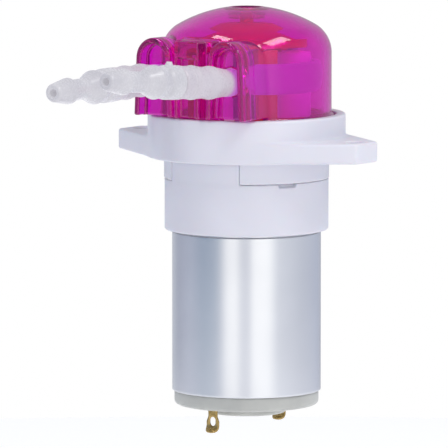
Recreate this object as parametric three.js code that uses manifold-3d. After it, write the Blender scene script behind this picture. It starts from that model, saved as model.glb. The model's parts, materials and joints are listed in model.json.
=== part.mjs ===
// Peristaltic dosing pump: a round DC motor, a moulded motor seat with a two-eared mounting
// flange, a rotor of three rollers driven by friction from the motor shaft, a silicone tube
// bent round the track inside a domed cover, and a barbed hose connector in each tube end.
//
// Millimetres. The origin is on the pump axis in the plane of the flange's underside, +Z runs
// up to the dome, -Y is the side of the two tube ports, and the flange's ears lie along X.

import * as THREE from 'three';
import { mergeVertices } from 'three/addons/utils/BufferGeometryUtils.js';
import Module from 'manifold-3d';

const wasm = await Module();
wasm.setup();

// ---------------------------------------------------------------- driving dimensions

const GAP = 0.3;          // between fixed pieces that touch on the real pump
const RUN = 0.07;         // running clearance of a shaft in its bush

const COVER = {
  r: 15.8, wall: 1.4, bottom: 2.7,
  shoulderR: 6, shoulderZ: 19.2, apex: 28.05,
  lipR: 16.3, lipLow: 6.9, lipHigh: 7.8,
  bossR: 3.4, bossLow: 25, dimpleR: 2.9, dimpleDepth: 0.5, pinHoleR: 1.35,
};
const PORT = {
  x: 8, mouthY: -18.7, outerR: 4.2, innerR: 2.8, springZ: 18.5, bottom: 8.25, axisZ: 15.2,
  rimDepth: 4.1, rimProud: 0.25, wallAt: 2, wall: 1.2, tubeHoleR: 2.65,
};
const WEB = { halfWidth: 4.3, frontY: -16.9, backY: -13.9, top: 22.5 };
const PAD = { halfWidth: 2.73, frontY: -19.4, top: 22.4 };
const POCKET = { halfWidth: 2.02, top: 19.2, depth: 1.2 };

const FLANGE = {
  thick: 3.8, floor: 2.3, collarR: 18.4, collarInner: 16.6, collarTop: 7.95, shaftHoleR: 4,
  earX: 25.7, earHalfWidth: 2.6, earCornerR: 1.5, holeX: 24, holeR: 1.55,
  skirtR: 15.35, skirtInner: 13.75, skirtLow: -4.05, windowHalfAngle: 30.2,
};
const SEAT = {
  r: 15.25, low: -13.7, shoulder: -4.35, spigotR: 13.45, spigotInner: 11.6, spigotTop: -0.3,
  floorLow: -7.2, floorHigh: -4.9, tongueHalfAngle: 29.3, counterboreTop: -9.7,
  notchFrom: -32, notchTo: -18, notchHigh: 0.6, edge: 0.4,
};
const MOTOR = {
  ringR: 13.85, ringInner: 12.95, ringLow: -43.8, ringHigh: -10, seamAngle: -150, seamWidth: 0.3,
  canR: 12.65, canWall: 0.9, canLow: -44.1, canTop: -7.5, noseR: 5, noseTop: -5.1,
  capR: 13.45, capLow: -46.5, capHigh: -44.4, capSpigotR: 11.5, capSpigotTop: -41.5,
  capBossR: 7.5, capBossLow: -48.1,
  screwX: 8, screwR: 1.3, screwHeadR: 2.4,
};
const SHAFT = { r: 1.15, low: -46.5, high: 19.3 };
const BUSH = { r: 3, length: 2.5 };
const MAGNET = { outer: 11.5, inner: 9.5, low: -35, high: -14, halfAngle: 64 };
const CORE = { r: 9, low: -33, high: -16, hubR: 3.2, neck: 3, shoeR: 7.5, shoeHalfAngle: 50 };
const COMMUTATOR = { r: 2.9, low: -40.6, high: -36.8, slot: 0.35 };

// The friction drive: sleeve (sun), three rollers (planets), tube pinched against the track.
const DRIVE = { sleeveR: 5.05, sleeveLow: 6.9, sleeveHigh: 19.8, orbit: 8.6, rollerR: 3.4 };
const ROLLER = { low: 6.7, high: 20.2, firstAngle: 24.6, count: 3, axleR: 1 };
const CAGE = {
  r: 11.2, baseLow: 4.7, baseHigh: 6.3, topLow: 20.6, topHigh: 22.05, pillarWidth: 4.1, pillarInner: 7.6,
  hubR: 9.1, hubTopR: 4.6, hubHigh: 24.2, pinR: 1.25, pinHigh: 27.3, boreR: 5.5,
};
const TUBE = {
  r: 2.5, boreR: 1.5, flatInner: 12.3, flatOuter: 14.12, flatHeight: 5.7, turnR: 5, roundEndY: -13.7,
};

// A hose connector and the tube end stretched over it, as radii along the connector's axis,
// measured outward from the port's mouth. The first list is the connector, the second the tube.
const CONNECTOR = {
  boreR: 0.9,
  profile: [
    [1.2, 1.35], [4.6, 2.25], [4.9, 1.75], [7.4, 1.75], [9.6, 2.25], [9.9, 1.75], [13.9, 1.75],
    [13.9, 3.15], [17.0, 3.15], [17.5, 2.85], [19.8, 3.15], [22.9, 1.9], [27.4, 1.9], [28, 2.35],
    [32.6, 1.6], [33, 1.3],
  ],
  sleeve: [[-1.5, 2.5], [0.5, 2.55], [4.3, 3.1], [6.2, 2.95], [9.4, 3.15], [10.8, 3], [13.6, 3.15]],
  sleeveBore: [
    [13.6, 2.05], [10.2, 2.05], [9.7, 2.55], [7.3, 2.05], [5.2, 2.05], [4.7, 2.55], [1.1, 1.65], [0, 1.5],
    [-1.5, 1.5],
  ],
};
const CONNECTOR_SIDES = [
  { name: 'right', side: 1, yaw: -4.5, pitch: 4.2 },
  { name: 'left', side: -1, yaw: 3, pitch: -0.4 },
];

const FINE = 40;          // facets round the casings
const MEDIUM = 24;        // facets round rollers, bushes and hubs
const SMALL = 16;         // facets round pins, holes and connectors

const TERMINAL = {
  y: 10.8, width: 3.2, thick: 0.5, top: -42.1, bladeTop: -46.6, coined: 0.05,
  curlStart: -49.6, tip: -50.9, curl: 0.9,
  holeR: 0.8, holeZ: -48.6, holeStretch: 0.4,
};
const BRUSH = { width: 2.4, from: 3.2, to: 5.4, low: -40.2, high: -37.4 };

const radians = THREE.MathUtils.degToRad;

// ---------------------------------------------------------------- materials

function finish(color, roughness, metalness = 0) {
  return new THREE.MeshStandardMaterial({ color, roughness, metalness });
}

const looks = {
  magenta: () => finish('#b0108f', 0.15),
  white: () => finish('#e2e2ee', 0.45),
  milky: () => finish('#c4cccc', 0.4),
  silicone: () => finish('#d6d6e0', 0.35),
  red: () => finish('#c2243a', 0.4),
  roller: () => finish('#ece9e4', 0.4),
  satin: () => finish('#c3c8d2', 0.32, 0.9),
  steel: () => finish('#a8abb0', 0.3, 1),
  zinc: () => finish('#9ea3a8', 0.4, 0.9),
  brass: () => finish('#a8874c', 0.35, 1),
  copper: () => finish('#a85a2c', 0.4, 1),
  bronze: () => finish('#8d6a42', 0.55, 0.8),
  ferrite: () => finish('#3a3a3c', 0.8),
  carbon: () => finish('#2a2a2b', 0.7),
  iron: () => finish('#6a6d72', 0.5, 0.8),
};

// ---------------------------------------------------------------- solids

// Turns a closed geometry into a solid that can be joined and cut.
function solid(geometry) {
  const bare = geometry.index ? geometry.toNonIndexed() : geometry.clone();
  bare.deleteAttribute('normal');
  bare.deleteAttribute('uv');
  const merged = mergeVertices(bare, 1e-4);
  return new wasm.Manifold(new wasm.Mesh({
    numProp: 3,
    vertProperties: new Float32Array(merged.attributes.position.array),
    triVerts: new Uint32Array(merged.index.array),
  }));
}

// Gives a solid back as a geometry.
function geometryOf(body) {
  const { vertProperties, triVerts } = body.getMesh();
  const geometry = new THREE.BufferGeometry();
  geometry.setAttribute('position', new THREE.BufferAttribute(new Float32Array(vertProperties), 3));
  geometry.setIndex(new THREE.BufferAttribute(new Uint32Array(triVerts), 1));
  geometry.computeVertexNormals();
  return geometry;
}

function join(first, ...others) {
  return others.reduce((total, body) => total.add(body), first);
}

function cut(body, ...tools) {
  return tools.reduce((rest, tool) => rest.subtract(tool), body);
}

// Revolves [radius, z] points about Z. The outline is closed by this function.
function revolve(points, facets = FINE) {
  const outline = points.map(([r, z]) => new THREE.Vector2(r, z));
  const closed = [...outline, outline[0].clone()];
  const geometry = new THREE.LatheGeometry(closed, facets);
  geometry.rotateX(Math.PI / 2);
  return upright(solid(geometry));
}

// Turns a body inside out when its winding came out inward.
function upright(body) {
  return body.volume() >= 0 ? body : body.mirror([1, 0, 0]);
}

function disc(r, low, high, facets = FINE, topR = r) {
  const geometry = new THREE.CylinderGeometry(topR, r, high - low, facets);
  geometry.rotateX(Math.PI / 2);
  geometry.translate(0, 0, (low + high) / 2);
  return solid(geometry);
}

function ring(outer, inner, low, high, facets = FINE) {
  return cut(disc(outer, low, high, facets), disc(inner, low - 1, high + 1, facets));
}

function box(lowX, highX, lowY, highY, lowZ, highZ) {
  const geometry = new THREE.BoxGeometry(highX - lowX, highY - lowY, highZ - lowZ);
  geometry.translate((lowX + highX) / 2, (lowY + highY) / 2, (lowZ + highZ) / 2);
  return solid(geometry);
}

// Extrudes a flat shape from z = low to z = high.
function prism(shape, low, high, curveSegments = 8) {
  const depth = high - low;
  const geometry = new THREE.ExtrudeGeometry(shape, { depth, bevelEnabled: false, curveSegments });
  geometry.translate(0, 0, low);
  return solid(geometry);
}

// A wedge of a ring between two angles, in degrees from +X towards +Y.
function sector(outer, inner, fromAngle, toAngle, low, high, curveSegments = 8) {
  const shape = new THREE.Shape();
  shape.absarc(0, 0, outer, radians(fromAngle), radians(toAngle), false);
  shape.absarc(0, 0, inner, radians(toAngle), radians(fromAngle), true);
  shape.closePath();
  return prism(shape, low, high, curveSegments);
}

function moved(body, x, y, z = 0) {
  return body.translate([x, y, z]);
}

function turned(body, degrees) {
  return body.rotate([0, 0, degrees]);
}

function repeatRound(count, firstAngle, make) {
  return Array.from({ length: count }, (_, index) => make(firstAngle + (index * 360) / count, index));
}

function onCircle(radius, degrees) {
  return [radius * Math.cos(radians(degrees)), radius * Math.sin(radians(degrees))];
}

// ---------------------------------------------------------------- the object

const pump = new THREE.Group();

function place(name, body, material, parent = pump) {
  const mesh = new THREE.Mesh(geometryOf(body), material);
  mesh.name = name;
  parent.add(mesh);
  return mesh;
}

// ---------------------------------------------------------------- cover

// The dome's outline from the cylinder up to the axis: a shoulder arc, then a spherical cap
// that meets it tangentially. A thinner copy gives the inner surface.
function domeOutline(inset) {
  const shoulderX = COVER.r - COVER.shoulderR;
  const rise = COVER.apex - COVER.shoulderZ;
  const capR = (rise ** 2 + shoulderX ** 2 - COVER.shoulderR ** 2) / (2 * (rise - COVER.shoulderR));
  const capZ = COVER.apex - capR;
  const meet = Math.atan2(COVER.shoulderZ - capZ, shoulderX);
  const points = [];
  const shoulderSteps = 4;
  for (let step = 0; step <= shoulderSteps; step += 1) {
    const angle = (meet * step) / shoulderSteps;
    const r = COVER.shoulderR - inset;
    points.push([shoulderX + r * Math.cos(angle), COVER.shoulderZ + r * Math.sin(angle)]);
  }
  const capSteps = 4;
  for (let step = 1; step <= capSteps; step += 1) {
    const angle = meet + ((Math.PI / 2 - meet) * step) / capSteps;
    const r = capR - inset;
    const onAxis = step === capSteps;
    points.push([onAxis ? 0 : r * Math.cos(angle), capZ + r * Math.sin(angle)]);
  }
  return points;
}

// An arch that is open at the bottom, between two planes of constant y.
function arch(halfWidth, lowZ, frontY, backY) {
  const shape = new THREE.Shape();
  shape.moveTo(-halfWidth, lowZ);
  shape.lineTo(halfWidth, lowZ);
  shape.absarc(0, PORT.springZ, halfWidth, 0, Math.PI, false);
  shape.closePath();
  const depth = backY - frontY;
  const geometry = new THREE.ExtrudeGeometry(shape, { depth, bevelEnabled: false, curveSegments: 10 });
  geometry.rotateX(Math.PI / 2);
  geometry.translate(0, backY, 0);
  return solid(geometry);
}

function coverSolid() {
  const shell = revolve([[0, COVER.bottom], [COVER.r, COVER.bottom], ...domeOutline(0)]);
  const lip = disc(COVER.lipR, COVER.lipLow, COVER.lipHigh);
  const web = box(-WEB.halfWidth, WEB.halfWidth, WEB.frontY, WEB.backY, PORT.bottom, WEB.top);
  const pad = box(-PAD.halfWidth, PAD.halfWidth, PAD.frontY, WEB.backY, PORT.bottom, PAD.top);
  const hoodBack = -8;
  const sides = [-PORT.x, PORT.x];
  const hoodR = PORT.outerR - PORT.rimProud;
  const rimBack = PORT.mouthY + PORT.rimDepth;
  const hoods = sides.map((x) => moved(arch(hoodR, PORT.bottom, PORT.mouthY, hoodBack), x, 0));
  const rims = sides.map((x) => moved(arch(PORT.outerR, PORT.bottom, PORT.mouthY, rimBack), x, 0));
  const outside = join(shell, lip, web, pad, ...hoods, ...rims);

  const openEnd = COVER.bottom - 1;
  const inside = revolve([[0, openEnd], [COVER.r - COVER.wall, openEnd], ...domeOutline(COVER.wall)]);
  const channelBack = -7;
  const channels = sides.map((x) => (
    moved(arch(PORT.innerR, PORT.bottom - 0.1, PORT.mouthY - 1, channelBack), x, 0)));
  const pocketBack = PAD.frontY + POCKET.depth;
  const pocket = box(
    -POCKET.halfWidth, POCKET.halfWidth, PAD.frontY - 1, pocketBack, PORT.bottom - 1, POCKET.top);
  const hollow = cut(outside, inside, ...channels, pocket);

  // Each port is closed behind its mouth by a wall that the tube passes through.
  const wallFront = PORT.mouthY + PORT.wallAt;
  const walls = sides.map((x) => (
    moved(arch(PORT.innerR + 0.2, PORT.bottom, wallFront, wallFront + PORT.wall), x, 0)));
  const tubeHoles = sides.map((x) => {
    const geometry = new THREE.CylinderGeometry(PORT.tubeHoleR, PORT.tubeHoleR, PORT.wall + 2, 24);
    geometry.translate(x, wallFront + PORT.wall / 2, PORT.axisZ);
    return solid(geometry);
  });

  const boss = disc(COVER.bossR, COVER.bossLow, COVER.apex - 1, MEDIUM);
  const dimple = disc(COVER.dimpleR, COVER.apex - COVER.dimpleDepth, COVER.apex + 1, MEDIUM);
  const pinHole = disc(COVER.pinHoleR + RUN, COVER.bossLow - 1, COVER.apex + 1, MEDIUM);
  return cut(join(hollow, boss, ...walls), dimple, pinHole, ...tubeHoles);
}

place('pump_cover', coverSolid(), looks.magenta());

// ---------------------------------------------------------------- mounting flange

// The diamond outline: a circle and two blunt ears joined by tangent lines.
function earOutline() {
  const { collarR, earX, earHalfWidth, earCornerR } = FLANGE;
  const reach = Math.hypot(earX, earHalfWidth);
  const lean = Math.atan2(earHalfWidth, earX);
  const tangent = lean + Math.acos((collarR - earCornerR) / reach);
  const shape = new THREE.Shape();
  shape.absarc(earX, -earHalfWidth, earCornerR, -tangent, 0, false);
  shape.absarc(earX, earHalfWidth, earCornerR, 0, tangent, false);
  shape.absarc(0, 0, collarR, tangent, Math.PI - tangent, false);
  shape.absarc(-earX, earHalfWidth, earCornerR, Math.PI - tangent, Math.PI, false);
  shape.absarc(-earX, -earHalfWidth, earCornerR, Math.PI, Math.PI + tangent, false);
  shape.absarc(0, 0, collarR, Math.PI + tangent, 2 * Math.PI - tangent, false);
  shape.closePath();
  return shape;
}

function flangeSolid() {
  const plate = prism(earOutline(), 0, FLANGE.thick, 10);
  const collar = disc(FLANGE.collarR - 0.01, 0.1, FLANGE.collarTop);
  const well = disc(FLANGE.collarInner, FLANGE.floor, FLANGE.collarTop + 1);
  const shaftHole = disc(FLANGE.shaftHoleR, -1, FLANGE.floor + 1, MEDIUM);
  const hole = disc(FLANGE.holeR, -1, FLANGE.thick + 1, SMALL);
  const holes = [-FLANGE.holeX, FLANGE.holeX].map((x) => moved(hole, x, 0));
  const skirt = ring(FLANGE.skirtR, FLANGE.skirtInner, FLANGE.skirtLow, 0.5);
  const halfAngle = FLANGE.windowHalfAngle;
  const outer = FLANGE.skirtR + 1;
  const inner = FLANGE.skirtInner - 1;
  const windows = [-90, 90].map((centre) => (
    sector(outer, inner, centre - halfAngle, centre + halfAngle, FLANGE.skirtLow - 1, 0)));
  return join(cut(join(plate, collar), well, shaftHole, ...holes), cut(skirt, ...windows));
}

place('mounting_flange', flangeSolid(), looks.white());

// ---------------------------------------------------------------- motor seat

function seatSolid() {
  const cup = revolve([
    [0, SEAT.low], [SEAT.r - SEAT.edge, SEAT.low], [SEAT.r, SEAT.low + SEAT.edge], [SEAT.r, SEAT.shoulder],
    [0, SEAT.shoulder]]);
  const spigot = disc(SEAT.spigotR, SEAT.shoulder - 1, SEAT.spigotTop);
  const tongues = [-90, 90].map((centre) => sector(
    SEAT.r, SEAT.spigotR - 1, centre - SEAT.tongueHalfAngle, centre + SEAT.tongueHalfAngle,
    SEAT.shoulder - 1, SEAT.spigotTop));
  const wideBore = disc(MOTOR.ringR + GAP, SEAT.low - 1, SEAT.counterboreTop);
  const canBore = disc(MOTOR.canR + GAP, SEAT.low - 1, SEAT.floorLow);
  const topWell = disc(SEAT.spigotInner, SEAT.floorHigh, SEAT.spigotTop + 1);
  const noseHole = disc(MOTOR.noseR + GAP, SEAT.floorLow - 1, SEAT.floorHigh + 1, MEDIUM);
  const screwHoles = [-MOTOR.screwX, MOTOR.screwX].map((x) => (
    moved(disc(MOTOR.screwR + GAP, SEAT.floorLow - 1, SEAT.floorHigh + 1, SMALL), x, 0)));
  const notches = [0, 180].map((turn) => sector(
    SEAT.r + 1, SEAT.r - 0.8, SEAT.notchFrom + turn, SEAT.notchTo + turn,
    SEAT.shoulder - SEAT.notchHigh, SEAT.shoulder + 1));
  const outside = join(cup, spigot, ...tongues);
  return cut(outside, wideBore, canBore, topWell, noseHole, ...screwHoles, ...notches);
}

place('motor_seat', seatSolid(), looks.white());

// ---------------------------------------------------------------- motor casing

function fluxRingSolid() {
  const { ringR, ringInner, ringLow, ringHigh, seamWidth, seamAngle } = MOTOR;
  const band = ring(ringR, ringInner, ringLow, ringHigh);
  const seam = box(ringInner - 1, ringR + 1, -seamWidth / 2, seamWidth / 2, ringLow - 1, ringHigh + 1);
  return cut(band, turned(seam, seamAngle));
}

function canSolid() {
  const { canR, canWall, canLow, canTop, noseR, noseTop } = MOTOR;
  const edge = 1.2;
  const drawn = revolve([
    [0, canLow], [canR, canLow], [canR, canTop - edge], [canR - edge, canTop], [0, canTop]]);
  const nose = disc(noseR, canTop - 0.5, noseTop, MEDIUM);
  const inside = disc(canR - canWall, canLow - 1, canTop - canWall);
  const bushSeat = disc(BUSH.r + 0.15, canTop - 2, noseTop - 0.5, MEDIUM);
  const mouth = disc(SHAFT.r + 0.6, noseTop - 1, noseTop + 1, SMALL);
  const screwHoles = [-MOTOR.screwX, MOTOR.screwX].map((x) => (
    moved(disc(MOTOR.screwR + 0.15, canTop - 2, canTop + 1, SMALL), x, 0)));
  return cut(join(drawn, nose), inside, bushSeat, mouth, ...screwHoles);
}

function endCapSolid() {
  const { capR, capLow, capHigh, capSpigotR, capSpigotTop, capBossR, capBossLow } = MOTOR;
  const edge = 0.5;
  const body = revolve([
    [0, capBossLow], [capBossR - 0.3, capBossLow], [capBossR, capBossLow + 0.3], [capBossR, capLow],
    [capR - edge, capLow], [capR, capLow + edge], [capR, capHigh], [capSpigotR, capHigh],
    [capSpigotR, capSpigotTop], [capSpigotR - 1.2, capSpigotTop], [capSpigotR - 1.2, capHigh],
    [BUSH.r + 1.6, capHigh], [BUSH.r + 1.6, capSpigotTop - 1.6], [0, capSpigotTop - 1.6]]);
  const bushSeat = disc(BUSH.r + 0.15, capBossLow + 0.7, capSpigotTop + 1, MEDIUM);
  const slotX = TERMINAL.width / 2 + 0.2;
  const slotY = TERMINAL.thick / 2 + 0.2;
  const slots = [-TERMINAL.y, TERMINAL.y].map((y) => (
    box(-slotX, slotX, y - slotY, y + slotY, capLow - 1, capSpigotTop + 1)));
  return cut(body, bushSeat, ...slots);
}

function bushSolid(low) {
  return ring(BUSH.r, SHAFT.r + RUN, low, low + BUSH.length, MEDIUM);
}

function motorScrewSolid() {
  const head = disc(MOTOR.screwHeadR, SEAT.floorHigh + 0.1, SEAT.floorHigh + 1.9, SMALL);
  const shank = disc(MOTOR.screwR, MOTOR.canTop - 1.6, SEAT.floorHigh + 1, SMALL);
  const slotLong = box(-1.5, 1.5, -0.3, 0.3, SEAT.floorHigh + 1.1, SEAT.floorHigh + 3);
  const slotCross = box(-0.3, 0.3, -1.5, 1.5, SEAT.floorHigh + 1.1, SEAT.floorHigh + 3);
  return cut(join(head, shank), slotLong, slotCross);
}

place('flux_ring', fluxRingSolid(), looks.satin());
place('motor_can', canSolid(), looks.steel());
place('end_cap', endCapSolid(), looks.milky());
place('front_bush', bushSolid(MOTOR.canTop - 0.8), looks.bronze());
place('rear_bush', bushSolid(MOTOR.capBossLow + 1), looks.bronze());
for (const [name, side] of [['motor_screw_left', -1], ['motor_screw_right', 1]]) {
  place(name, motorScrewSolid(), looks.zinc()).position.x = side * MOTOR.screwX;
}

// ---------------------------------------------------------------- terminals and brush gear

// A flat tab with a wire hole, coined a little thinner on its outer face below the end cap.
// Its tip curls outward, away from the motor's axis.
function terminalSolid() {
  const half = TERMINAL.thick / 2;
  const face = half - TERMINAL.coined;
  const tipRise = TERMINAL.tip + TERMINAL.thick;
  const profile = new THREE.Shape();
  profile.moveTo(-half, TERMINAL.top);
  profile.lineTo(half, TERMINAL.top);
  profile.lineTo(half, TERMINAL.bladeTop);
  profile.lineTo(face, TERMINAL.bladeTop);
  profile.lineTo(face, TERMINAL.curlStart);
  profile.quadraticCurveTo(face, tipRise, TERMINAL.curl, tipRise);
  profile.lineTo(TERMINAL.curl, TERMINAL.tip);
  profile.quadraticCurveTo(-half, TERMINAL.tip, -half, TERMINAL.curlStart);
  profile.closePath();
  const depth = TERMINAL.width;
  const strip = new THREE.ExtrudeGeometry(profile, { depth, bevelEnabled: false, curveSegments: 5 });
  strip.rotateX(Math.PI / 2);
  strip.rotateZ(Math.PI / 2);
  strip.translate(-TERMINAL.width / 2, 0, 0);
  const hole = new THREE.Shape();
  hole.absarc(0, TERMINAL.holeStretch / 2, TERMINAL.holeR, 0, Math.PI, false);
  hole.absarc(0, -TERMINAL.holeStretch / 2, TERMINAL.holeR, Math.PI, 2 * Math.PI, false);
  const holeTool = new THREE.ExtrudeGeometry(hole, { depth: 4, bevelEnabled: false, curveSegments: 8 });
  holeTool.rotateX(Math.PI / 2);
  holeTool.translate(0, 2, TERMINAL.holeZ);
  return cut(solid(strip), solid(holeTool));
}

// A leaf spring bent from its terminal round to the back of its brush, seen along Z.
function brushArmSolid() {
  const thick = 0.35;
  const bends = [[2.4, 10], [4.4, 7.4], [3.2, 5.95], [-1.1, 5.95]];
  const leaves = bends.slice(1).map(([x, y], index) => {
    const [fromX, fromY] = bends[index];
    const length = Math.hypot(x - fromX, y - fromY);
    const half = thick / 2;
    const leaf = box(-half, length + half, -half, half, BRUSH.low + 0.3, BRUSH.high - 0.3);
    const heading = Math.atan2(y - fromY, x - fromX);
    return moved(turned(leaf, THREE.MathUtils.radToDeg(heading)), fromX, fromY);
  });
  return join(...leaves);
}

for (const [name, turn] of [['front', Math.PI], ['rear', 0]]) {
  const side = new THREE.Group();
  side.rotation.z = turn;
  pump.add(side);
  const terminal = place(`terminal_${name}`, terminalSolid(), looks.brass(), side);
  terminal.position.y = TERMINAL.y;
  place(`brush_arm_${name}`, brushArmSolid(), looks.copper(), side);
  place(
    `carbon_brush_${name}`,
    box(-BRUSH.width / 2, BRUSH.width / 2, BRUSH.from, BRUSH.to, BRUSH.low, BRUSH.high),
    looks.carbon(), side);
}

// ---------------------------------------------------------------- magnets

for (const [name, centre] of [['magnet_left', 180], ['magnet_right', 0]]) {
  const { outer, inner, low, high, halfAngle } = MAGNET;
  place(name, sector(outer, inner, centre - halfAngle, centre + halfAngle, low, high), looks.ferrite());
}
place('magnet_spring', sector(MAGNET.outer, MAGNET.outer - 0.5, 67.5, 112.5, -32, -20, 6), looks.steel());

// ---------------------------------------------------------------- armature

const armature = new THREE.Group();
pump.add(armature);

function coreSolid() {
  const hub = disc(CORE.hubR, CORE.low, CORE.high, MEDIUM);
  const poles = repeatRound(3, 0, (angle) => {
    const neck = box(0, CORE.shoeR + 0.3, -CORE.neck / 2, CORE.neck / 2, CORE.low, CORE.high);
    const shoe = sector(
      CORE.r, CORE.shoeR, -CORE.shoeHalfAngle, CORE.shoeHalfAngle, CORE.low, CORE.high);
    return turned(join(neck, shoe), angle);
  });
  return cut(join(hub, ...poles), disc(SHAFT.r + 0.1, CORE.low - 1, CORE.high + 1, MEDIUM));
}

// One winding: a rounded loop of wire round a pole's neck.
function coilSolid() {
  const from = CORE.hubR + 0.9;
  const to = CORE.shoeR - 0.9;
  const half = 2.6;
  const overhang = 2;
  const outer = box(from, to, -half, half, CORE.low - overhang, CORE.high + overhang);
  const clear = 0.2;
  const neckHalf = CORE.neck / 2 + clear;
  const window = box(from - 1, to + 1, -neckHalf, neckHalf, CORE.low - clear, CORE.high + clear);
  return cut(outer, window);
}

function commutatorSolid() {
  const barrel = ring(COMMUTATOR.r, SHAFT.r + 0.1, COMMUTATOR.low, COMMUTATOR.high, MEDIUM);
  const slots = repeatRound(3, 30, (angle) => turned(
    box(COMMUTATOR.r - 0.6, COMMUTATOR.r + 1, -COMMUTATOR.slot / 2, COMMUTATOR.slot / 2,
      COMMUTATOR.low - 1, COMMUTATOR.high + 1),
    angle));
  return cut(barrel, ...slots);
}

place('motor_shaft', disc(SHAFT.r, SHAFT.low, SHAFT.high, MEDIUM), looks.steel(), armature);
place('armature_core', coreSolid(), looks.iron(), armature);
repeatRound(3, 0, (angle, index) => {
  place(`armature_coil_${index + 1}`, turned(coilSolid(), angle), looks.copper(), armature);
});
place('commutator', commutatorSolid(), looks.copper(), armature);
const onShaftR = SHAFT.r + 0.1;
const varistor = ring(4.3, onShaftR, COMMUTATOR.high + 0.2, COMMUTATOR.high + 1.2, MEDIUM);
const spacer = ring(2.2, onShaftR, CORE.high + 0.2, MOTOR.canTop - 1.1, SMALL);
const driveSleeve = ring(DRIVE.sleeveR, onShaftR, DRIVE.sleeveLow, DRIVE.sleeveHigh, MEDIUM);
place('varistor_ring', varistor, looks.ferrite(), armature);
place('shaft_spacer', spacer, looks.milky(), armature);
place('drive_sleeve', driveSleeve, looks.steel(), armature);

// ---------------------------------------------------------------- rotor cage and rollers

const cage = new THREE.Group();
pump.add(cage);

function axleHoles(low, high) {
  return repeatRound(ROLLER.count, ROLLER.firstAngle, (angle) => (
    moved(disc(ROLLER.axleR + 0.12, low, high, SMALL), ...onCircle(DRIVE.orbit, angle))));
}

function cageBaseSolid() {
  const plate = ring(CAGE.r, CAGE.boreR, CAGE.baseLow, CAGE.baseHigh);
  const half = CAGE.pillarWidth / 2;
  const betweenRollers = ROLLER.firstAngle - 180 / ROLLER.count;
  const pillarTop = CAGE.topLow - 0.1;
  const trim = disc(CAGE.r, CAGE.baseLow, pillarTop);
  const pillars = repeatRound(ROLLER.count, betweenRollers, (angle) => turned(
    box(CAGE.pillarInner, CAGE.r + 1, -half, half, CAGE.baseHigh - 0.5, pillarTop), angle).intersect(trim));
  return cut(join(plate, ...pillars), ...axleHoles(CAGE.baseLow + 0.5, CAGE.baseHigh + 1));
}

function cageTopSolid() {
  const plate = disc(CAGE.r, CAGE.topLow, CAGE.topHigh);
  const hub = disc(CAGE.hubR, CAGE.topHigh - 0.2, CAGE.hubHigh, MEDIUM, CAGE.hubTopR);
  const pin = disc(CAGE.pinR, CAGE.hubHigh - 0.5, CAGE.pinHigh, SMALL);
  return cut(join(plate, hub, pin), ...axleHoles(CAGE.topLow - 1, CAGE.topHigh + 3));
}

function rollerSolid() {
  const edge = 0.4;
  const body = revolve([
    [0, ROLLER.low], [DRIVE.rollerR - edge, ROLLER.low], [DRIVE.rollerR, ROLLER.low + edge],
    [DRIVE.rollerR, ROLLER.high - edge], [DRIVE.rollerR - edge, ROLLER.high], [0, ROLLER.high]], MEDIUM);
  return cut(body, disc(ROLLER.axleR + RUN, ROLLER.low - 1, ROLLER.high + 1, SMALL));
}

place('cage_base', cageBaseSolid(), looks.red(), cage);
place('cage_top', cageTopSolid(), looks.red(), cage);
repeatRound(ROLLER.count, ROLLER.firstAngle, (angle, index) => {
  const station = new THREE.Group();
  const [x, y] = onCircle(DRIVE.orbit, angle);
  station.position.set(x, y, 0);
  cage.add(station);
  place(`roller_${index + 1}`, rollerSolid(), looks.roller(), station);
  const axle = disc(ROLLER.axleR, CAGE.baseLow + 0.7, CAGE.topHigh - 0.1, SMALL);
  place(`roller_axle_${index + 1}`, axle, looks.steel(), station);
});

// ---------------------------------------------------------------- silicone tube

// The tube's centre line in the track: in at one port, out to the wall, round the back and
// out at the other port. It is followed by arc length.
class TrackRoute extends THREE.Curve {
  constructor() {
    super();
    const wallR = (TUBE.flatInner + TUBE.flatOuter) / 2;
    const centreX = PORT.x + TUBE.turnR;
    const centreY = -Math.sqrt((wallR + TUBE.turnR) ** 2 - centreX ** 2);
    this.turnCentre = [centreX, centreY];
    this.turnAngle = Math.atan2(-centreY, centreX);
    this.wallR = wallR;
    this.straight = centreY - TUBE.roundEndY;
    this.turnLength = TUBE.turnR * this.turnAngle;
    this.halfWall = wallR * (Math.PI / 2 + this.turnAngle);
    this.halfLength = this.straight + this.turnLength + this.halfWall;
  }

  getPoint(t, target = new THREE.Vector3()) {
    const secondHalf = t > 0.5;
    const along = (secondHalf ? 1 - t : t) * 2 * this.halfLength;
    let [x, y] = [PORT.x, TUBE.roundEndY + along];
    if (along > this.straight + this.turnLength) {
      const angle = -this.turnAngle + (along - this.straight - this.turnLength) / this.wallR;
      [x, y] = [this.wallR * Math.cos(angle), this.wallR * Math.sin(angle)];
    } else if (along > this.straight) {
      const angle = (along - this.straight) / TUBE.turnR;
      x = this.turnCentre[0] - TUBE.turnR * Math.cos(angle);
      y = this.turnCentre[1] + TUBE.turnR * Math.sin(angle);
    }
    return target.set(secondHalf ? -x : x, y, PORT.axisZ);
  }
}

// The pinched section: height along the first axis, thickness along the second.
function pinchedSection() {
  const halfHeight = TUBE.flatHeight / 2;
  const halfThick = (TUBE.flatOuter - TUBE.flatInner) / 2;
  const corner = halfThick * 0.8;
  const shape = new THREE.Shape();
  shape.moveTo(halfHeight, -halfThick + corner);
  shape.lineTo(halfHeight, halfThick - corner);
  shape.lineTo(halfHeight - corner, halfThick);
  shape.lineTo(-halfHeight + corner, halfThick);
  shape.lineTo(-halfHeight, halfThick - corner);
  shape.lineTo(-halfHeight, -halfThick + corner);
  shape.lineTo(-halfHeight + corner, -halfThick);
  shape.lineTo(halfHeight - corner, -halfThick);
  shape.closePath();
  return shape;
}

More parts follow.
